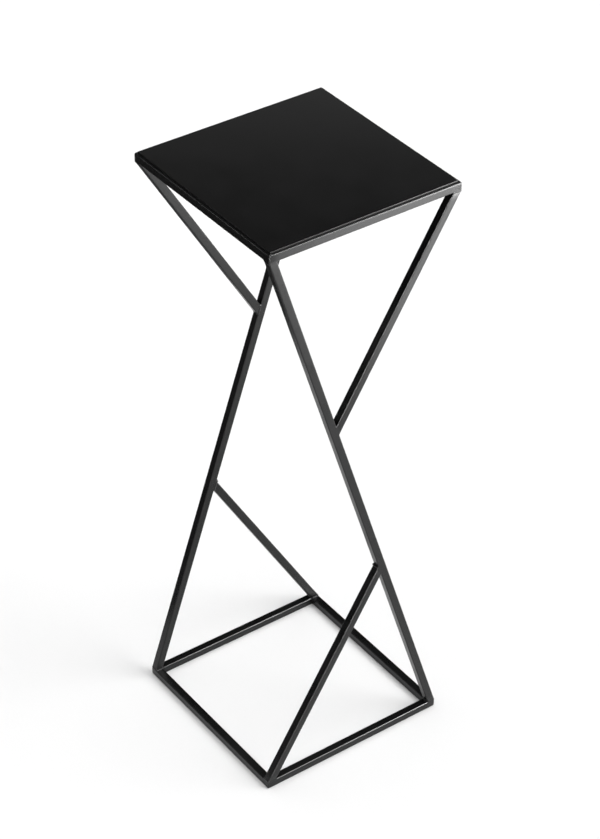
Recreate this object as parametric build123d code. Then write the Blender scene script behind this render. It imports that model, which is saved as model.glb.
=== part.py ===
"""Display plinth: a slim open stand of welded square steel tube with a thin sheet top.

Frame: millimetres, +Z up, origin at the centre of the base's underside.
The front is -Y, the right is +X. The right and left sides each hold a long diagonal with two
struts, and the front and the back stay open. The left side is the right side turned half a turn
about Z. In each side the lower strut is the upper one turned half a turn about the side's middle.
"""

from build123d import *
from math import asin, atan2, cos, degrees, hypot, sin
import os

# Driving dimensions
WIDTH = 250.0  # outer side of the square top and base frames
HEIGHT = 750.0  # floor to the top of the plate
TUBE = 10.0  # outer side of the square tube
WALL = 1.2  # tube wall
TUBE_RADIUS = 2.0  # outer corner radius of the tube
PLATE_THICKNESS = 2.0
PLATE_INSET = 3.0  # from the rails' outer faces to the plate's edge
PLATE_CORNER = 1.0  # corner radius of the plate, in plan
UPPER_JOINT = 483.0  # height where an upper strut's axis meets its diagonal's axis
CORNER_BEVEL = 2.0  # weld bevel on each outside mitre corner
CORNER_BEAD = 1.6  # radius of the bead that fills the bevel
FILLET_LEG = 2.5  # leg length of the fillet welds
TACK_LEG = 3.0  # leg length of the tacks under the plate
TACK_LENGTH = 18.0
TACK_SPREAD = 60.0  # from a rail's middle to each of its tacks

# Derived dimensions
HALF = WIDTH / 2
AXIS = HALF - TUBE / 2  # offset of every side tube's axis
RAIL_TOP = HEIGHT - PLATE_THICKNESS
TOP_SEAT = RAIL_TOP - TUBE  # underside of the top rails
BASE_SEAT = TUBE  # top of the base rails
MIDDLE = RAIL_TOP / 2
FLAT = TUBE / 2 - TUBE_RADIUS  # half width of a tube's flat
QUARTERS = {"front": 0, "right": 90, "back": 180, "left": 270}

SIDE_MIDDLE = Axis((0, 0, MIDDLE), (1, 0, 0))  # the half-turn axis of a side


def tube_section():
    """Cross-section of the square tube, rounded outside and inside."""
    inside = TUBE - 2 * WALL
    return RectangleRounded(TUBE, TUBE, TUBE_RADIUS) - RectangleRounded(
        inside, inside, TUBE_RADIUS - WALL
    )


def in_side(y, z):
    """A point on the right side's middle plane."""
    return Vector(AXIS, y, z)


def lean(start, corner_y, corner_z, swing):
    """Unit direction (y, z) of a tube whose axis leaves start and whose outer edge ends on a corner.

    swing is +1 or -1: the way the axis turns from the corner towards the inside of the frame.
    """
    dy = corner_y - start.Y
    dz = corner_z - start.Z
    angle = atan2(dz, dy) + swing * asin(TUBE / 2 / hypot(dy, dz))
    return cos(angle), sin(angle)


def axis_y(start, direction, z):
    """Where the axis from start reaches height z."""
    return start.Y + direction[0] * (z - start.Z) / direction[1]


def side_plane(start, direction):
    """Plane across a side tube at start: local X is the row's X, normal along the tube."""
    return Plane(origin=start, x_dir=(1, 0, 0), z_dir=(0, direction[0], direction[1]))


def between_seats():
    """The space between the base rails and the top rails."""
    space = Box(WIDTH, WIDTH, TOP_SEAT - BASE_SEAT)
    return Pos(0, 0, (TOP_SEAT + BASE_SEAT) / 2) * space


def opposite(shape):
    """The same piece at the other end of its side."""
    return shape.rotate(SIDE_MIDDLE, 180)


def left(shape):
    """The same piece on the left side."""
    return shape.rotate(Axis.Z, 180)


# The lines that the side tubes follow
CENTRE = in_side(0, MIDDLE)
DIAGONAL_WAY = lean(CENTRE, HALF, BASE_SEAT, swing=-1)
JOINT = in_side(axis_y(CENTRE, DIAGONAL_WAY, UPPER_JOINT), UPPER_JOINT)
STRUT_WAY = lean(JOINT, HALF, TOP_SEAT, swing=+1)


def rail(z):
    """Front rail of a square frame whose underside is at height z, mitred and bevelled."""
    bar = extrude(Plane.YZ * tube_section(), WIDTH / 2, both=True)
    bar = Pos(0, -AXIS, z + TUBE / 2) * bar
    bevel_end = HALF - CORNER_BEVEL
    mitre_start = HALF - CORNER_BEVEL / 2
    inner = HALF - TUBE
    outline = Polyline(
        (-bevel_end, -HALF),
        (bevel_end, -HALF),
        (mitre_start, -mitre_start),
        (inner, -inner),
        (-inner, -inner),
        (-mitre_start, -mitre_start),
        close=True,
    )
    return bar & extrude(Pos(0, 0, z) * make_face(outline), TUBE)


def diagonal():
    """Right diagonal, cut level on the base rails and under the top rails."""
    plane = side_plane(CENTRE, DIAGONAL_WAY)
    return extrude(plane * tube_section(), HEIGHT, both=True) & between_seats()


def diagonal_space():
    """The straight-sided bar that holds the right diagonal: struts stop at its faces."""
    plane = side_plane(CENTRE, DIAGONAL_WAY)
    return extrude(plane * Rectangle(WIDTH, TUBE), HEIGHT, both=True)


def strut():
    """Right upper strut, from the diagonal's side to the back top corner."""
    bar = extrude(side_plane(JOINT, STRUT_WAY) * tube_section(), HEIGHT)
    return (bar & between_seats()) - diagonal_space()


def top_plate():
    """Sheet top, lying on the top rails."""
    side = WIDTH - 2 * PLATE_INSET
    return Pos(0, 0, RAIL_TOP) * extrude(RectangleRounded(side, side, PLATE_CORNER), PLATE_THICKNESS)


def wedge(corner, leg_a, leg_b, along, length):
    """Fillet weld: a triangle at corner with two legs, drawn out both ways along a direction."""
    outline = Polyline(corner, corner + leg_a, corner + leg_b, close=True)
    return extrude(make_face(outline), length / 2, dir=along, both=True)


def seat_welds(way, seat_z):
    """Fillets where a side tube lands on a frame's back corner: one inside, one on the crossing rail.

    way points along the tube towards the seat, and seat_z is the rails' face.
    """
    up_tube = Vector(0, -way[0], -way[1])
    slant = TUBE / abs(way[1])
    inner_end = Vector(AXIS, HALF - slant, seat_z)
    inside = wedge(
        inner_end, Vector(0, -FILLET_LEG, 0), up_tube * FILLET_LEG, (1, 0, 0), 2 * FLAT
    )
    level = 1 if up_tube.Z > 0 else -1
    crossing = wedge(
        Vector(HALF - TUBE, AXIS, seat_z),
        Vector(-FILLET_LEG, 0, 0),
        Vector(0, 0, level * FILLET_LEG),
        (0, 1, 0),
        2 * FLAT - FILLET_LEG,
    )
    return inside + crossing


def joint_welds():
    """Two fillets where the upper strut meets the diagonal, on its upper and its lower face."""
    down_diagonal = Vector(0, *DIAGONAL_WAY)
    up_strut = Vector(0, *STRUT_WAY)
    across = Vector(1, 0, 0)
    strut_normal = up_strut.cross(across)
    face_normal = across.cross(down_diagonal)
    if face_normal.dot(up_strut) < 0:
        face_normal = -face_normal
    slope = up_strut.dot(face_normal)
    welds = []
    for side in (-1, 1):
        edge_point = JOINT + strut_normal * (side * TUBE / 2)
        reach = (TUBE / 2 - (edge_point - JOINT).dot(face_normal)) / slope
        corner = edge_point + up_strut * reach
        away = down_diagonal if strut_normal.dot(down_diagonal) * side > 0 else -down_diagonal
        welds.append(wedge(corner, away * FILLET_LEG, up_strut * FILLET_LEG, across, 2 * FLAT))
    return Compound(welds)


def corner_welds(z):
    """Outside and inside beads of the four mitres of a frame whose underside is at height z."""
    bead_axis = HALF - CORNER_BEAD
    rod = Pos(bead_axis, -bead_axis) * Circle(CORNER_BEAD)
    bevel = make_face(
        Polyline(
            (HALF, -HALF),
            (HALF, -HALF + CORNER_BEVEL),
            (HALF - CORNER_BEVEL, -HALF),
            close=True,
        )
    )
    inner = HALF - TUBE
    root = make_face(
        Polyline(
            (inner, -inner),
            (inner - FILLET_LEG, -inner),
            (inner, -inner + FILLET_LEG),
            close=True,
        )
    )
    flat_start = z + TUBE_RADIUS
    pair = [Pos(0, 0, flat_start) * extrude(face, 2 * FLAT) for face in (rod & bevel, root)]
    return [piece.rotate(Axis.Z, turn) for turn in QUARTERS.values() for piece in pair]


def plate_tacks():
    """Two short fillets under the plate along the inside of each top rail."""
    inner = HALF - TUBE
    tacks = []
    for turn in QUARTERS.values():
        for offset in (-TACK_SPREAD, TACK_SPREAD):
            tack = wedge(
                Vector(offset, -inner, RAIL_TOP),
                Vector(0, TACK_LEG, 0),
                Vector(0, 0, -TACK_LEG),
                (1, 0, 0),
                TACK_LENGTH,
            )
            tacks.append(tack.rotate(Axis.Z, turn))
    return tacks


def build():
    """Every node of the stand, by name."""
    nodes = {"top_plate": top_plate()}
    for name, turn in QUARTERS.items():
        nodes[f"top_rail_{name}"] = rail(TOP_SEAT).rotate(Axis.Z, turn)
        nodes[f"base_rail_{name}"] = rail(0).rotate(Axis.Z, turn)

    long_tube = diagonal()
    upper_strut = strut()
    lower_strut = opposite(upper_strut)
    base_seat = seat_welds(DIAGONAL_WAY, BASE_SEAT)
    diagonal_welds = Compound([base_seat, opposite(base_seat)])
    strut_ends = Compound([seat_welds(STRUT_WAY, TOP_SEAT), joint_welds()])
    strut_welds = Compound([strut_ends, opposite(strut_ends)])
    right_side = {
        "diagonal": long_tube,
        "upper_strut": upper_strut,
        "lower_strut": lower_strut,
        "diagonal_welds": diagonal_welds,
        "strut_welds": strut_welds,
    }
    for name, shape in right_side.items():
        nodes[f"right_{name}"] = shape
        nodes[f"left_{name}"] = left(shape)

    nodes["top_corner_welds"] = Compound(corner_welds(TOP_SEAT))
    nodes["base_corner_welds"] = Compound(corner_welds(0))
    nodes["plate_tack_welds"] = Compound(plate_tacks())
    return nodes


os.makedirs("parts", exist_ok=True)
for node, shape in build().items():
    export_step(shape, f"parts/{node}.step")
print("diagonal leans", round(degrees(atan2(abs(DIAGONAL_WAY[0]), abs(DIAGONAL_WAY[1]))), 2), "degrees")
print("upper strut leans", round(degrees(atan2(abs(STRUT_WAY[0]), abs(STRUT_WAY[1]))), 2), "degrees")
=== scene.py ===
"""Looks of the display plinth: a slim stand of welded square tube with a thin sheet top.

Metres, +Z up, origin at the centre of the base's underside. The front is -Y, the right is +X.
Tubes are hollow sweeps cut on planes, and the sheet is a stack of rings. The weld metal is the
surface of a distance field in which tubes, beads and ground faces run into each other.
"""

from dataclasses import dataclass, field
from math import asin, atan2, ceil, cos, hypot, pi, radians, sin

import bmesh
import bpy
import numpy as np
from mathutils import Matrix, Vector


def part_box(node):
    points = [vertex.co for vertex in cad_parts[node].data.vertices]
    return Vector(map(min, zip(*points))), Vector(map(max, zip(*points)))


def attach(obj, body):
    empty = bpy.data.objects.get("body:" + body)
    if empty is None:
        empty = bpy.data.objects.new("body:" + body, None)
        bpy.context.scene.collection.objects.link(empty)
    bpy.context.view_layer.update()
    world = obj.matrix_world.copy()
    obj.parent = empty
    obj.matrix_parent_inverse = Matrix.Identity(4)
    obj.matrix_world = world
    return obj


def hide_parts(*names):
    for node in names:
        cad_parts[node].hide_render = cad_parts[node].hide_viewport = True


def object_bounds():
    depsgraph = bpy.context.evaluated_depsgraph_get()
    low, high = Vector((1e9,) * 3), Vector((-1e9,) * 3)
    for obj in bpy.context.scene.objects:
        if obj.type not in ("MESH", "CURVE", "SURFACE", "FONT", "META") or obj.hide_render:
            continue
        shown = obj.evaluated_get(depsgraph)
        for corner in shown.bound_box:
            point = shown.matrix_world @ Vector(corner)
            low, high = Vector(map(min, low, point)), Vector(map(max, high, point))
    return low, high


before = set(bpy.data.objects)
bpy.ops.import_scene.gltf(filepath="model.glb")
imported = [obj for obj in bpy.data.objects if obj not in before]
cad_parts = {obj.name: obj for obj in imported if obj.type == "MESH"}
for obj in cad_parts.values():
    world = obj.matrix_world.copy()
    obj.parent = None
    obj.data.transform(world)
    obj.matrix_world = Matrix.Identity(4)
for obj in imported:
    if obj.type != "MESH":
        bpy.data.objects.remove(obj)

MM = 0.001

# Driving dimensions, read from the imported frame
CAD_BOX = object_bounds()
PLATE_LOW, PLATE_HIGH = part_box("top_plate")
RAIL_LOW, RAIL_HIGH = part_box("top_rail_front")
HALF = CAD_BOX[1].x
TUBE = RAIL_HIGH.z - RAIL_LOW.z
TOP_SEAT = RAIL_LOW.z  # underside of the top rails
RAIL_TOP = RAIL_HIGH.z
BASE_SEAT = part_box("base_rail_front")[1].z  # top of the base rails
STRUT_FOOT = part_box("right_upper_strut")[0].z
AXIS = HALF - TUBE / 2
MIDDLE = (TOP_SEAT + BASE_SEAT) / 2

# Tube section
WALL = 1.2 * MM
TUBE_RADIUS = 1.3 * MM
FACE_MARGIN = 0.05 * MM  # tube faces lie this far inside the frame's outer planes
HALF_TUBE = TUBE / 2 - FACE_MARGIN
GROUND_MARGIN = FACE_MARGIN / 2  # ground weld metal lies this far inside them
ARC_STEPS = 8
FLAT_STEPS = 3
FLAT_START = 0.3 * MM  # first point on a flat, from the end of the rounding
RING_PITCH = 12 * MM  # distance between a tube's rings of vertices

# Sheet top
PLATE_CORNER = 1.0 * MM
PLATE_EDGE = 0.35 * MM  # rounding of the sheet's edges
PLATE_SAG = 0.2 * MM
PLATE_RINGS = 30
PLATE_FLAT_STEPS = 24

# Weld metal
BEVEL = 2.0 * MM  # flat cut on each outside mitre corner, which the weld fills
GRID = 0.4 * MM
BEAD_RADIUS = 1.3 * MM
BEAD_SINK = 0.8 * MM  # depth of the bead's centre line under the faces it joins
BEAD_PITCH = 1.5 * MM
BEAD_JITTER = 0.12 * MM
BEAD_BLEND = 0.7 * MM
TOE_BLEND = 1.2 * MM  # how widely the weld runs into the tubes
CORNER_BLEND = 1.8 * MM  # rounding of the frame's outside corners
GROUND_BLEND = 0.2 * MM
SINK = 0.03 * MM  # beyond its toe the weld metal lies this far under the tube's face
UNEVEN = 0.04 * MM
UNEVEN_LENGTH = 4 * MM
ROUGH_DEPTH = 1.0 * MM  # dimples in a corner that was left as it was welded
ROUGH_LENGTH = 1.9 * MM
SPATTER_DROPS = 12  # on the ledge round the sheet's front right corner
SPATTER_REACH = 5.0 * MM  # how far along the ledge the spatter goes from the corner
SPATTER_DEPTH = 2.0 * MM  # how far in across the ledge
SPATTER_START = 0.9 * MM  # nearest that a drop's centre comes to the rail's outer face
HEAP = 1.8 * MM  # extra height of the metal in the crotch of a lower joint
HEAP_SWELL = 0.4  # how much larger its drops are there
SEAM_REACH = 3.6 * MM  # how far a weld piece goes to each side of its seam
SIDE_REACH = 3.0 * MM  # how far it goes out from the tube that ends there
TACK_LENGTH = 18 * MM
TACK_SPREAD = 60 * MM  # from a rail's middle to each of its tacks
TACK_REACH = 3.6 * MM
TACK_SWELL = 1.6  # a tack's drops against those of the other welds
TACK_RUN = 0.85  # share of a tack's length that its drops take up

ACROSS = Vector((1, 0, 0))
UP = Vector((0, 0, 1))
HALF_TURN = Matrix.Rotation(pi, 4, "Z")
TO_MIDDLE = Matrix.Translation(UP * MIDDLE)
OPPOSITE = TO_MIDDLE @ Matrix.Rotation(pi, 4, "X") @ TO_MIDDLE.inverted()
QUARTERS = {"front": 0, "right": 90, "back": 180, "left": 270}


# Bars, planes and the lines they follow


@dataclass
class Plane:
    """A cut: what lies on the side that the normal points to is taken away."""

    point: Vector
    normal: Vector

    def distance(self, points):
        return (points - np.array(self.point)) @ np.array(self.normal)


@dataclass
class Bar:
    """A straight square tube: a point on its axis, its direction, the direction across it, its cuts."""

    point: Vector
    way: Vector
    across: Vector
    cuts: list = field(default_factory=list)

    @property
    def third(self):
        return self.way.cross(self.across)

    def distance(self, points):
        """Signed distance to the outside of the cut bar, negative inside."""
        offset = points - np.array(self.point)
        sides = np.stack([offset @ np.array(self.across), offset @ np.array(self.third)], 1)
        beyond = np.abs(sides) - (HALF_TUBE - TUBE_RADIUS)
        rounded = np.linalg.norm(np.maximum(beyond, 0), axis=1) + np.minimum(beyond.max(1), 0)
        solid = rounded - TUBE_RADIUS
        for cut in self.cuts:
            solid = np.maximum(solid, cut.distance(points))
        return solid

    def uncut(self):
        return Bar(self.point, self.way, self.across)


def moved(thing, matrix):
    """The same plane or bar after a turn."""
    turn = matrix.to_3x3()
    if isinstance(thing, Plane):
        return Plane(matrix @ thing.point, turn @ thing.normal)
    cuts = [moved(cut, matrix) for cut in thing.cuts]
    return Bar(matrix @ thing.point, turn @ thing.way, turn @ thing.across, cuts)


def mitre(side, seat):
    """Mitre plane at one end of a front rail, side being +1 for the right end."""
    return Plane(Vector((side * HALF, -HALF, seat)), Vector((side, 1, 0)).normalized())


def front_rail(seat):
    """Front rail whose underside is at height seat, mitred and bevelled at both ends."""
    cuts = []
    for side in (-1, 1):
        cuts.append(mitre(side, seat))
        bevel_point = Vector((side * (HALF - BEVEL), -HALF, seat))
        cuts.append(Plane(bevel_point, Vector((side, -1, 0)).normalized()))
    return Bar(Vector((0, -AXIS, seat + TUBE / 2)), Vector((1, 0, 0)), Vector((0, 1, 0)), cuts)


def right_diagonal():
    """Long tube of the right side: its outer edges end on the front top and back base corners."""
    rise = MIDDLE - BASE_SEAT
    angle = atan2(-rise, HALF) - asin(TUBE / 2 / hypot(rise, HALF))
    way = Vector((0, cos(angle), sin(angle)))
    cuts = [Plane(UP * BASE_SEAT, -UP), Plane(UP * TOP_SEAT, UP)]
    return Bar(Vector((AXIS, 0, MIDDLE)), way, ACROSS, cuts)


def upper_side(diagonal):
    """Plane of the diagonal's upper face, with its normal pointing out of the diagonal."""
    normal = diagonal.third if diagonal.third.z > 0 else -diagonal.third
    return Plane(diagonal.point + normal * TUBE / 2, normal)


def right_upper_strut(side):
    """Strut from the back top corner down to the diagonal's side plane."""
    corner = Vector((AXIS, HALF, TOP_SEAT))
    shift = (STRUT_FOOT - side.point.z) * side.normal.z / side.normal.y
    foot = Vector((AXIS, side.point.y - shift, STRUT_FOOT))
    way = (corner - foot).normalized()
    inward = way.cross(ACROSS)
    if inward.y > 0:
        inward = -inward
    cuts = [Plane(UP * TOP_SEAT, UP), Plane(side.point, -side.normal)]
    return Bar(corner + inward * TUBE / 2, way, ACROSS, cuts)


def all_bars():
    """Every tube of the stand by its node's name."""
    bars = {}
    for name, degrees in QUARTERS.items():
        quarter = Matrix.Rotation(radians(degrees), 4, "Z")
        bars[f"top_rail_{name}"] = moved(front_rail(TOP_SEAT), quarter)
        bars[f"base_rail_{name}"] = moved(front_rail(0), quarter)
    diagonal = right_diagonal()
    upper = right_upper_strut(upper_side(diagonal))
    side = {"diagonal": diagonal, "upper_strut": upper, "lower_strut": moved(upper, OPPOSITE)}
    for name, bar in side.items():
        bars[f"right_{name}"] = bar
        bars[f"left_{name}"] = moved(bar, HALF_TURN)
    return bars


# Meshes


def rounded_square(half, radius, flat_steps):
    """Outline of a rounded square as an array of points, with extra points along its flats."""
    outline = []
    for quarter in range(4):
        centre = (half - radius) * (1 + 1j) * 1j**quarter
        next_centre = (half - radius) * (1 + 1j) * 1j ** (quarter + 1)
        edge = radius * 1j ** (quarter + 1)
        length = abs(next_centre - centre)
        way = (next_centre - centre) / length
        for step in range(ARC_STEPS):
            outline.append(centre + radius * np.exp(1j * pi / 2 * (quarter + step / ARC_STEPS)))
        for place in (0, *np.linspace(FLAT_START, length - FLAT_START, flat_steps)):
            outline.append(centre + edge + way * place)
    return np.stack([np.real(outline), np.imag(outline)], 1)


def section_lines(bar, outline):
    """Where the lines through an outline's points enter and leave the bar: bases, starts, ends."""
    aside = outline[:, :1] * np.array(bar.across) + outline[:, 1:] * np.array(bar.third)
    bases = np.array(bar.point) + aside
    starts = np.full(len(bases), -np.inf)
    ends = np.full(len(bases), np.inf)
    for cut in bar.cuts:
        slope = bar.way.dot(cut.normal)
        if abs(slope) > 1e-9:
            crossing = -cut.distance(bases) / slope
            if slope > 0:
                ends = np.minimum(ends, crossing)
            else:
                starts = np.maximum(starts, crossing)
    return bases, starts, ends


def band(first, second, count):
    """Quads between two rings of vertices, given the rings' first indices."""
    following = [(k + 1) % count for k in range(count)]
    return [(first + k, first + n, second + n, second + k) for k, n in enumerate(following)]


def tube_mesh(bar):
    """A hollow tube: rings outside, one long band inside, and the cut faces at its ends."""
    outer = rounded_square(HALF_TUBE, TUBE_RADIUS, FLAT_STEPS)
    inner = rounded_square(HALF_TUBE - WALL, TUBE_RADIUS - WALL, FLAT_STEPS)
    count = len(outer)
    bases, starts, ends = section_lines(bar, outer)
    steps = ceil((ends - starts).max() / RING_PITCH)
    way = np.array(bar.way)
    rings = [bases + way * (starts + (ends - starts) * k / steps)[:, None] for k in range(steps + 1)]
    bases, starts, ends = section_lines(bar, inner)
    rings += [bases + way * reach[:, None] for reach in (starts, ends)]
    order = [steps + 1, *range(steps + 1), steps + 2, steps + 1]
    faces = [quad for a, b in zip(order, order[1:]) for quad in band(a * count, b * count, count)]
    return np.concatenate(rings), faces


def sag(points):
    """How far the sheet dips at each point, nothing at its edges."""
    share = 1 - (points / PLATE_HIGH.x) ** 2
    return PLATE_SAG * share[:, 0] * share[:, 1]


def plate_mesh():
    """The sheet: concentric rings over the top, round the edge and back under the bottom."""
    half = PLATE_HIGH.x
    levels = []
    for step in range(1, PLATE_RINGS):
        levels.append((half - PLATE_EDGE, step / PLATE_RINGS, PLATE_HIGH.z))
    for inset in (2 * FLAT_START, FLAT_START, 0):
        levels.append((half - PLATE_EDGE, 1 - inset / half, PLATE_HIGH.z))
    for step in range(1, ARC_STEPS + 1):
        angle = pi / 2 * step / ARC_STEPS
        drop = PLATE_EDGE * (1 - cos(angle))
        levels.append((half - PLATE_EDGE * (1 - sin(angle)), 1, PLATE_HIGH.z - drop))
    both_faces = PLATE_LOW.z + PLATE_HIGH.z
    lower = [(size, scale, both_faces - height) for size, scale, height in reversed(levels)]
    rings = []
    for size, scale, height in levels + lower:
        ring = scale * rounded_square(size, PLATE_CORNER, PLATE_FLAT_STEPS)
        rings.append(np.column_stack([ring, height - sag(ring)]))
    count = len(rings[0])
    centres = np.array([[0, 0, PLATE_HIGH.z - PLATE_SAG], [0, 0, PLATE_LOW.z - PLATE_SAG]])
    vertices = np.concatenate([*rings, centres])
    faces = [quad for k in range(len(rings) - 1) for quad in band(k * count, (k + 1) * count, count)]
    for hub, first in ((len(vertices) - 2, 0), (len(vertices) - 1, (len(rings) - 1) * count)):
        faces += [(hub, first + k, first + (k + 1) % count) for k in range(count)]
    return vertices, faces


# Weld metal


def smooth_union(a, b, width):
    """The smaller of two distances, run together where they are within width of each other."""
    near = np.maximum(width - np.abs(a - b), 0) / width
    return np.minimum(a, b) - near**2 * width / 4


def smooth_cut(a, b, width):
    return -smooth_union(-a, -b, width)


def wander(points, length, seed):
    """A smooth random value between about -1 and 1 at each point."""
    rng = np.random.default_rng(seed)
    waves = 5
    total = np.zeros(len(points))
    for _ in range(waves):
        direction = rng.normal(size=3)
        direction *= 2 * pi / length / np.linalg.norm(direction)
        total += np.sin(points @ direction + rng.uniform(0, 2 * pi))
    return total / waves


def surface_net(distance, low, high):
    """Closed mesh of quads where distance(points) is zero, on a grid from low to high."""
    counts = np.ceil((high - low) / GRID).astype(int) + 1
    ticks = [low[axis] + GRID * np.arange(counts[axis]) for axis in range(3)]
    grid = np.stack(np.meshgrid(*ticks, indexing="ij"), -1)
    values = distance(grid.reshape(-1, 3)).reshape(counts)
    total = np.zeros((*(counts - 1), 3))
    hits = np.zeros(counts - 1)
    rings = []
    for axis in range(3):
        near = [slice(None)] * 3
        far = [slice(None)] * 3
        near[axis], far[axis] = slice(0, -1), slice(1, None)
        a, b = values[tuple(near)], values[tuple(far)]
        cells = np.argwhere((a < 0) != (b < 0))
        place = tuple(cells.T)
        crossing = grid[tuple(near)][place]
        crossing[:, axis] += GRID * a[place] / (a[place] - b[place])
        back_u, back_v = np.zeros(3, int), np.zeros(3, int)
        back_u[(axis + 1) % 3] = 1
        back_v[(axis + 2) % 3] = 1
        ring = np.stack([cells, cells - back_u, cells - back_u - back_v, cells - back_v], 1)
        for corner in range(4):
            np.add.at(total, tuple(ring[:, corner].T), crossing)
            np.add.at(hits, tuple(ring[:, corner].T), 1)
        rings.append(np.where((a[place] < 0)[:, None, None], ring, ring[:, ::-1]))
    used = hits > 0
    names = np.cumsum(used).reshape(used.shape) - 1
    quads = names[tuple(np.moveaxis(np.concatenate(rings), 2, 0))]
    return onto_surface(total[used] / hits[used][:, None], distance), quads.tolist()


def onto_surface(points, distance):
    """Points moved along the field's slope until the distance is nearly zero."""
    nudge = GRID / 8
    for _ in range(2):
        rises = [distance(points + nudge * axis) - distance(points - nudge * axis) for axis in np.eye(3)]
        slope = np.stack(rises, 1)
        slope /= np.linalg.norm(slope, axis=1, keepdims=True) + 1e-12
        points = points - np.clip(distance(points), -GRID / 2, GRID / 2)[:, None] * slope
    return points


def beads_round(bar, plane, rng):
    """Bead centres and radii along the seam where a bar ends on a plane."""
    outline = rounded_square(HALF_TUBE - BEAD_SINK, TUBE_RADIUS - BEAD_SINK, 12)
    bases, _, _ = section_lines(bar, outline)
    slope = bar.way.dot(plane.normal)
    loop = bases - (plane.distance(bases) / slope)[:, None] * np.array(bar.way)
    return beads_along(np.concatenate([loop, loop[:1]]), rng)


def beads_along(path, rng):
    """Overlapping drops of metal at an even, slightly unsteady pitch along a path."""
    lengths = np.linalg.norm(np.diff(path, axis=0), axis=1)
    reached = np.concatenate([[0], np.cumsum(lengths)])
    count = max(round(reached[-1] / BEAD_PITCH), 1)
    places = np.linspace(0, reached[-1], count, endpoint=False)
    centres = np.stack([np.interp(places, reached, path[:, axis]) for axis in range(3)], 1)
    centres += rng.normal(0, BEAD_JITTER, centres.shape)
    return centres, BEAD_RADIUS * rng.uniform(0.9, 1.12, count)


@dataclass
class Weld:
    """One run of weld metal: what it joins, its beads, the planes it's ground to, and its limits.

    rough is the depth of the dimples on its ground faces.
    """

    solids: list
    beads: tuple
    ground: list
    limits: list
    seed: int
    rough: float = 0.0

    def distance(self, points):
        metal = self.solids[0].distance(points)
        for solid in self.solids[1:]:
            metal = smooth_union(metal, solid.distance(points), TOE_BLEND)
        centres, radii = self.beads
        drops = np.full(len(points), np.inf)
        for centre, radius in zip(centres, radii):
            drops = np.minimum(drops, np.linalg.norm(points - centre, axis=1) - radius)
        metal = smooth_union(metal, drops, BEAD_BLEND)
        metal += SINK + UNEVEN * wander(points, UNEVEN_LENGTH, self.seed)
        if self.ground:
            faces = self.ground[0].distance(points)
            for plane in self.ground[1:]:
                faces = smooth_cut(faces, plane.distance(points), CORNER_BLEND)
            dimples = np.maximum(wander(points, ROUGH_LENGTH, self.seed), 0)
            metal = smooth_cut(metal, faces + self.rough * dimples, GROUND_BLEND)
        for limit, reach in self.limits:
            metal = np.maximum(metal, limit.distance(points) - reach)
        return metal

    def mesh(self):
        centres, _ = self.beads
        margin = SEAM_REACH + SIDE_REACH + GRID
        low, high = centres.min(0) - margin, centres.max(0) + margin

        def closed(points):
            walls = np.maximum(low + GRID - points, points - high + GRID).max(1)
            return np.maximum(self.distance(points), walls)

        return surface_net(closed, low, high)


def seam_weld(bar, plane, others, ground, seed):
    """Weld round the end of a bar on a plane that belongs to other bars."""
    beads = beads_round(bar, plane, np.random.default_rng(seed))
    behind = Plane(plane.point, -plane.normal)
    limits = [(bar.uncut(), SIDE_REACH), (plane, SEAM_REACH), (behind, SEAM_REACH)]
    return Weld([bar, *others], beads, ground, limits, seed)


def outer_faces(side, end):
    """The frame's two outer planes that meet at a corner, side being the sign of X and end of Y."""
    ground = HALF - GROUND_MARGIN
    return [
        Plane(Vector((side * ground, 0, 0)), Vector((side, 0, 0))),
        Plane(Vector((0, end * ground, 0)), Vector((0, end, 0))),
    ]


def mitre_welds(bars, level, seat, seed):
    """The four mitres of one square frame, ground flush but for a bead inside.

    The front right corner of the top frame was left rough.
    """
    names = list(QUARTERS)
    flats = [Plane(UP * (seat + TUBE - GROUND_MARGIN), UP), Plane(UP * (seat + GROUND_MARGIN), -UP)]
    welds = []
    for k, name in enumerate(names):
        quarter = Matrix.Rotation(radians(QUARTERS[name]), 4, "Z")
        bar = bars[f"{level}_rail_{name}"]
        neighbour = bars[f"{level}_rail_{names[(k + 1) % 4]}"]
        corner = quarter @ Vector((1, -1, 0))
        ground = outer_faces(*corner.xy) + flats
        weld = seam_weld(bar, moved(mitre(1, seat), quarter), [neighbour], ground, seed + k)
        weld.rough = ROUGH_DEPTH if (level, name) == ("top", "front") else 0
        welds.append(weld)
    return welds


def spatter(bars, seed):
    """Drops of metal left on the ledge round the sheet's front right corner."""
    rng = np.random.default_rng(seed)
    centres = []
    for _ in range(SPATTER_DROPS):
        along = rng.uniform(SPATTER_START, SPATTER_REACH)
        aside = rng.uniform(SPATTER_START, SPATTER_DEPTH)
        inset = (along, aside) if rng.random() < 0.5 else (aside, along)
        centres.append((HALF - inset[0], inset[1] - HALF, RAIL_TOP + rng.uniform(-0.2, 0.3) * MM))
    radii = rng.uniform(0.55, 0.9, SPATTER_DROPS) * MM
    limits = [(Plane(UP * PLATE_HIGH.z, UP), 0), (Plane(UP * RAIL_TOP, -UP), 0.5 * MM)]
    rails = [bars["top_rail_front"], bars["top_rail_right"]]
    return Weld(rails, (np.array(centres), radii), outer_faces(1, -1), limits, seed)


def seat_weld(bars, name, level, seed):
    """Weld where a side tube lands on a corner of the top or the base frame."""
    bar = bars[name]
    height = TOP_SEAT if level == "top" else BASE_SEAT
    out = UP if level == "top" else -UP
    landing = bar.point + bar.way * (height - bar.point.z) / bar.way.z
    side, end = np.sign(landing.x), np.sign(landing.y)
    rails = [bars[f"{level}_rail_{'right' if side > 0 else 'left'}"]]
    rails.append(bars[f"{level}_rail_{'back' if end > 0 else 'front'}"])
    return seam_weld(bar, Plane(UP * height, out), rails, outer_faces(side, end), seed)


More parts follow.
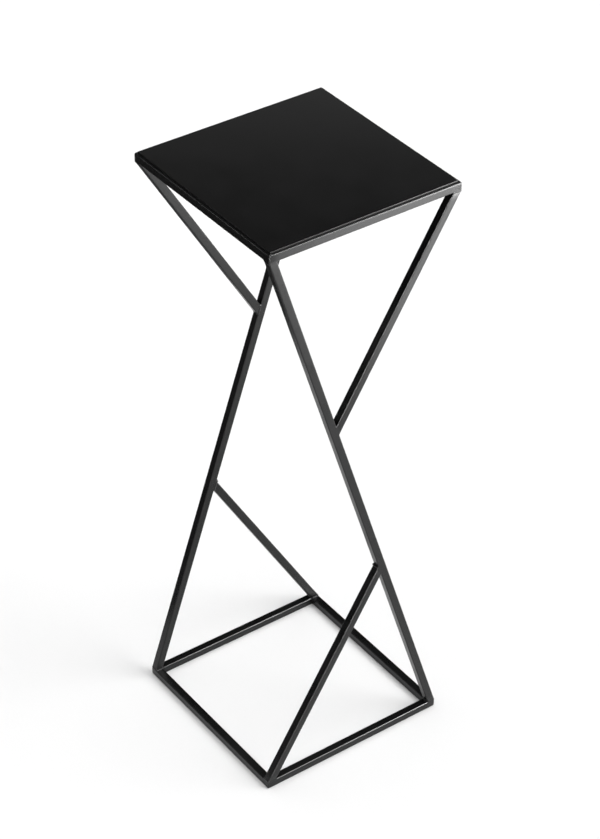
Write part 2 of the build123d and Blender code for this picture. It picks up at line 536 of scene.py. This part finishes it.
def joint_weld(bars, side, level, seed):
    """Weld where a strut ends on the side of its diagonal."""
    strut = bars[f"{side}_{level}_strut"]
    plane = next(cut for cut in strut.cuts if abs(cut.normal.z) < 0.9)
    sign = 1 if side == "right" else -1
    ground = [Plane(Vector((sign * (HALF - GROUND_MARGIN), 0, 0)), Vector((sign, 0, 0)))]
    weld = seam_weld(strut, plane, [bars[f"{side}_diagonal"]], ground, seed)
    if level == "lower":
        heap_up(weld, strut, plane)
    return weld


def heap_up(weld, strut, plane):
    """More metal in the upper crotch of a joint."""
    travel = plane.distance(np.array([strut.point]))[0] / strut.way.dot(plane.normal)
    landing = strut.point - strut.way * travel
    upper = strut.third if strut.third.z > 0 else -strut.third
    centres, radii = weld.beads
    height = (centres - np.array(landing)) @ np.array(upper) / HALF_TUBE
    heaped = np.clip(2 * height - 1, 0, 1)
    centres += heaped[:, None] * np.array(upper) * HEAP
    weld.beads = centres, radii * (1 + HEAP_SWELL * heaped)


def tack_weld(rail, offset, seed):
    """Short fillet under the sheet along the inside of a top rail."""
    inward = -Vector((rail.point.x, rail.point.y, 0)).normalized()
    root = rail.point + inward * TUBE / 2 + UP * TUBE / 2 + rail.way * offset
    half = rail.way * TACK_LENGTH / 2
    path = np.array([root - half * TACK_RUN, root + half * TACK_RUN])
    sheet = Plane(UP * RAIL_TOP, -UP)
    around = Bar(root, rail.way, rail.across)
    ends = [(Plane(root + half, rail.way), 0), (Plane(root - half, -rail.way), 0)]
    limits = [(around, TACK_REACH - TUBE / 2), (Plane(UP * RAIL_TOP, UP), 1 * MM), *ends]
    centres, radii = beads_along(path, np.random.default_rng(seed))
    return Weld([rail.uncut(), sheet], (centres, radii * TACK_SWELL), [], limits, seed)


def all_welds(bars):
    """Runs of weld metal by the name of the CAD node that they stand for."""
    groups = {
        "top_corner_welds": [*mitre_welds(bars, "top", TOP_SEAT, 10), spatter(bars, 15)],
        "base_corner_welds": mitre_welds(bars, "base", 0, 20),
    }
    for k, side in enumerate(("right", "left")):
        seed = 30 + 20 * k
        groups[f"{side}_diagonal_welds"] = [
            seat_weld(bars, f"{side}_diagonal", "top", seed),
            seat_weld(bars, f"{side}_diagonal", "base", seed + 1),
        ]
        groups[f"{side}_strut_welds"] = [
            seat_weld(bars, f"{side}_upper_strut", "top", seed + 2),
            seat_weld(bars, f"{side}_lower_strut", "base", seed + 3),
            joint_weld(bars, side, "upper", seed + 4),
            joint_weld(bars, side, "lower", seed + 5),
        ]
    tacks = [(name, offset) for name in QUARTERS for offset in (-TACK_SPREAD, TACK_SPREAD)]
    groups["plate_tack_welds"] = [
        tack_weld(bars[f"top_rail_{name}"], offset, 70 + k) for k, (name, offset) in enumerate(tacks)
    ]
    return groups


def joined(meshes):
    """One list of vertices and faces from several."""
    vertices, faces = [], []
    first = 0
    for points, polygons in meshes:
        vertices.append(points)
        faces += [[first + k for k in polygon] for polygon in polygons]
        first += len(points)
    return np.concatenate(vertices), faces


def make_piece(name, mesh_data, material, node):
    """A piece that stands for a CAD node, with smooth faces that point outwards."""
    vertices, faces = mesh_data
    mesh = bpy.data.meshes.new(name)
    mesh.from_pydata([tuple(point) for point in vertices], [], faces)
    shell = bmesh.new()
    shell.from_mesh(mesh)
    bmesh.ops.recalc_face_normals(shell, faces=shell.faces)
    shell.to_mesh(mesh)
    shell.free()
    mesh.shade_smooth()
    mesh.materials.append(material)
    piece = bpy.data.objects.new(name, mesh)
    bpy.context.scene.collection.objects.link(piece)
    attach(piece, "root")
    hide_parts(node)
    return piece


def flat_faces(piece):
    """Keeps a tube's or a sheet's flat faces flat in the shading, with soft edges between them."""
    normals = piece.modifiers.new("flat_faces", "WEIGHTED_NORMAL")
    normals.keep_sharp = True
    normals.weight = 100


# Materials

COAT_IOR = 1.38
CLOUD_SIZE = 45 * MM  # slow changes of tone and sheen
GRAIN_SIZE = 0.5 * MM
WEAR_SIZE = 9 * MM  # patches of rubbed edge
NIB_SPACING = 7 * MM  # dust nibs in the coat
NIB_HEIGHT = 0.04 * MM


@dataclass
class Coat:
    """Values of a black powder coat."""

    shade: float
    rough: float
    peel: float  # depth of the orange peel
    peel_size: float
    worn: float  # brightness of rubbed edges


def node(tree, kind, inputs=None, **settings):
    made = tree.nodes.new(kind)
    for key, value in settings.items():
        setattr(made, key, value)
    for key, value in (inputs or {}).items():
        if isinstance(value, bpy.types.NodeSocket):
            tree.links.new(value, made.inputs[key])
        else:
            made.inputs[key].default_value = value
    return made


def noise(tree, place, size, detail=2.0):
    """Noise whose features are about size across."""
    inputs = {"Vector": place, "Scale": 1 / size, "Detail": detail}
    return node(tree, "ShaderNodeTexNoise", inputs).outputs["Fac"]


def ramp(tree, value, low, high, out_low, out_high):
    inputs = {"Value": value, "From Min": low, "From Max": high, "To Min": out_low, "To Max": out_high}
    return node(tree, "ShaderNodeMapRange", inputs).outputs["Result"]


def mix_colour(tree, share, first, second):
    """Blend of two colours, each a socket or three numbers."""
    made = node(tree, "ShaderNodeMix", data_type="RGBA")
    tree.links.new(share, made.inputs["Factor"])
    for key, value in (("A", first), ("B", second)):
        socket = next(s for s in made.inputs if s.name == key and s.type == "RGBA")
        if isinstance(value, bpy.types.NodeSocket):
            tree.links.new(value, socket)
        else:
            socket.default_value = (*value, 1)
    return next(s for s in made.outputs if s.type == "RGBA")


def powder_coat(name, coat):
    """Satin black powder coat: orange peel, cloudy sheen, dust nibs and rubbed edges."""
    material = bpy.data.materials.new(name)
    material.use_nodes = True
    tree = material.node_tree
    shader = tree.nodes["Principled BSDF"]
    place = node(tree, "ShaderNodeTexCoord").outputs["Object"]

    cloud = noise(tree, place, CLOUD_SIZE, 3)
    grain = noise(tree, place, GRAIN_SIZE, 3)
    pale = [coat.shade * 1.25, coat.shade * 1.25, coat.shade * 1.3]
    tint = mix_colour(tree, cloud, [coat.shade * 0.8] * 3, pale)
    edge = ramp(tree, node(tree, "ShaderNodeNewGeometry").outputs["Pointiness"], 0.52, 0.62, 0, 1)
    patchy = ramp(tree, noise(tree, place, WEAR_SIZE, 4), 0.52, 0.68, 0, 1)
    rubbed = node(tree, "ShaderNodeMath", {0: edge, 1: patchy}, operation="MULTIPLY").outputs[0]
    tree.links.new(mix_colour(tree, rubbed, tint, [coat.worn] * 3), shader.inputs["Base Color"])

    smear = node(tree, "ShaderNodeMath", {0: cloud, 1: grain}, operation="ADD").outputs[0]
    sheen = ramp(tree, smear, 0.7, 1.3, coat.rough - 0.05, coat.rough + 0.06)
    polished = node(tree, "ShaderNodeMath", {0: rubbed, 1: -0.08}, operation="MULTIPLY").outputs[0]
    rough = node(tree, "ShaderNodeMath", {0: sheen, 1: polished}, operation="ADD").outputs[0]
    tree.links.new(rough, shader.inputs["Roughness"])

    peel = noise(tree, place, coat.peel_size, 1)
    cells = node(tree, "ShaderNodeTexVoronoi", {"Vector": place, "Scale": 1 / NIB_SPACING})
    nib_height = ramp(tree, cells.outputs["Distance"], 0.0, 0.07, 1, 0)
    skin = node(tree, "ShaderNodeBump", {"Height": peel, "Distance": coat.peel, "Strength": 1})
    bump_inputs = {"Height": nib_height, "Distance": NIB_HEIGHT, "Normal": skin.outputs[0], "Strength": 1}
    bumps = node(tree, "ShaderNodeBump", bump_inputs)
    tree.links.new(bumps.outputs[0], shader.inputs["Normal"])
    shader.inputs["IOR"].default_value = COAT_IOR
    return material


def pale_floor():
    """Plain pale studio floor."""
    material = bpy.data.materials.new("floor_paper")
    material.use_nodes = True
    tree = material.node_tree
    shader = tree.nodes["Principled BSDF"]
    place = node(tree, "ShaderNodeTexCoord").outputs["Object"]
    fibre = noise(tree, place, 3 * MM, 4)
    tree.links.new(mix_colour(tree, fibre, [0.79] * 3, [0.81] * 3), shader.inputs["Base Color"])
    shader.inputs["Roughness"].default_value = 0.9
    shader.inputs["Specular IOR Level"].default_value = 0.1
    return material


# Studio


def towards(azimuth, elevation):
    """Unit vector: azimuth 0 points to the front, -Y, and 90 to the right, +X, in degrees."""
    a, e = radians(azimuth), radians(elevation)
    return Vector((sin(a) * cos(e), -cos(a) * cos(e), sin(e)))


def add_object(name, data):
    made = bpy.data.objects.new(name, data)
    bpy.context.scene.collection.objects.link(made)
    return made


def sun(name, azimuth, elevation, strength, spread, in_sheen=True, on_matte=True):
    """Light from one direction, spread over an angle in degrees."""
    light = bpy.data.lights.new(name, "SUN")
    light.energy = strength
    light.angle = radians(spread)
    made = add_object(name, light)
    made.rotation_euler = towards(azimuth, elevation).to_track_quat("Z", "Y").to_euler()
    made.visible_glossy = in_sheen
    made.visible_diffuse = on_matte


def softbox(name, centre, aim, width, height, radiance):
    """Rectangular light that faces aim and only shows in the coat's sheen."""
    light = bpy.data.lights.new(name, "AREA")
    light.shape = "RECTANGLE"
    light.size = width
    light.size_y = height
    light.energy = radiance * pi * width * height
    made = add_object(name, light)
    made.location = centre
    made.rotation_euler = (Vector(centre) - Vector(aim)).to_track_quat("Z", "Y").to_euler()
    made.visible_camera = False
    made.visible_diffuse = False


def flat_sheet(name, corners, material):
    """One level four-cornered face of the studio."""
    mesh = bpy.data.meshes.new(name)
    mesh.from_pydata(corners, [], [(0, 1, 2, 3)])
    mesh.materials.append(material)
    made = add_object(name, mesh)
    return made


def add_floor():
    size = 16.0
    corners = [(-size, -size, 0), (size, -size, 0), (size, size, 0), (-size, size, 0)]
    flat_sheet("floor", corners, pale_floor())


def add_painted_dark_reflection():
    """Painted dark reflection: a dark sheet, front left, that only shows in the coat, never to the
    camera, and casts no shadow.
    """
    start, reach, side = 0.4, 9.0, 6.0
    out = towards(-53.7, 0)
    along = UP.cross(out)
    corners = [out * start - along * side, out * start + along * side]
    corners += [out * reach + along * side, out * reach - along * side]
    shade_paint = bpy.data.materials.new("dark_shade_paint")
    shade_paint.use_nodes = True
    shader = shade_paint.node_tree.nodes["Principled BSDF"]
    # its dark colour is the painted dark reflection seen in the coat
    shader.inputs["Base Color"].default_value = (0.03, 0.03, 0.03, 1)
    shader.inputs["Roughness"].default_value = 1
    sheet = flat_sheet("painted_dark_reflection", [corner + UP * 2 * MM for corner in corners], shade_paint)
    sheet.visible_camera = False
    sheet.visible_diffuse = False
    sheet.visible_shadow = False


def add_world():
    """Dim room, a little brighter towards the horizon, that the camera sees as a pale backdrop."""
    world = bpy.data.worlds.new("studio")
    bpy.context.scene.world = world
    world.use_nodes = True
    tree = world.node_tree
    background = tree.nodes["Background"]
    direction = node(tree, "ShaderNodeTexCoord").outputs["Generated"]
    height = node(tree, "ShaderNodeSeparateXYZ", {"Vector": direction}).outputs["Z"]
    rise = ramp(tree, height, 0, 0.8, 0, 1)
    room = mix_colour(tree, rise, [0.03] * 3, [0.01] * 3)
    seen = node(tree, "ShaderNodeLightPath").outputs["Is Camera Ray"]
    tree.links.new(mix_colour(tree, seen, room, [1.0] * 3), background.inputs["Color"])


def add_camera():
    """Long lens from the front right, above, with a slight roll."""
    azimuth, elevation, roll = 53.685, 36.56, radians(0.61)
    distance, lens = 2.9325, 109.5
    aside, above = 6.55 * MM, 32.6 * MM
    back = towards(azimuth, elevation)
    level = Vector((cos(radians(azimuth)), sin(radians(azimuth)), 0))
    lift = back.cross(level)
    right = level * cos(roll) + lift * sin(roll)
    up = lift * cos(roll) - level * sin(roll)
    camera = add_object("camera", bpy.data.cameras.new("camera"))
    camera.data.lens = lens
    place = UP * RAIL_TOP / 2 + back * distance + right * aside + up * above
    camera.matrix_world = Matrix.Translation(place) @ Matrix((right, up, back)).transposed().to_4x4()
    bpy.context.scene.camera = camera


def build_object():
    coats = {
        # The sheet's coat is darker than the tubes' (0.0025 against 0.0035): painted shade, to make the
        # top render darker
        "plate_coating": powder_coat("plate_coat", Coat(0.0025, 0.34, 0.012 * MM, 1.6 * MM, 0.008)),
        "tube_coating": powder_coat("tube_coat", Coat(0.0035, 0.28, 0.010 * MM, 1.3 * MM, 0.012)),
        "weld_coating": powder_coat("weld_coat", Coat(0.0035, 0.29, 0.014 * MM, 1.1 * MM, 0.012)),
    }
    bars = all_bars()
    for name, bar in bars.items():
        slot = "tube_coating"
        flat_faces(make_piece(f"{name}_tube", tube_mesh(bar), coats[slot], name))
    slot = "plate_coating"
    flat_faces(make_piece("sheet_top", plate_mesh(), coats[slot], "top_plate"))
    slot = "weld_coating"
    for name, welds in all_welds(bars).items():
        data = joined([weld.mesh() for weld in welds])
        make_piece(f"{name}_metal", data, coats[slot], name)


build_object()
add_floor()
add_painted_dark_reflection()
add_world()
sun("overhead", 0, 90, 2.9, 100, in_sheen=False)
sun("key", 140, 42, 1.8, 40)
sun("right_glint", 128, 40, 3.2, 14, on_matte=False)
sun("front_glint", -47, 28, 0.35, 14, on_matte=False)
sun("low_glint", 50, 8, 4.0, 12, on_matte=False)
softbox("low_box", (0.8, 0.55, 0.225), (0.8, 0, 0.225), 0.6, 0.45, 4.3)
softbox("high_box", (0.7, 0.55, 0.675), (0.7, 0, 0.675), 0.4, 0.45, 44)
softbox("back_box", (-0.36, 0.30, 0.88), (0, 0, 0.75), 0.8, 0.2, 0.38)
add_camera()
bpy.context.scene.view_settings.view_transform = "Standard"
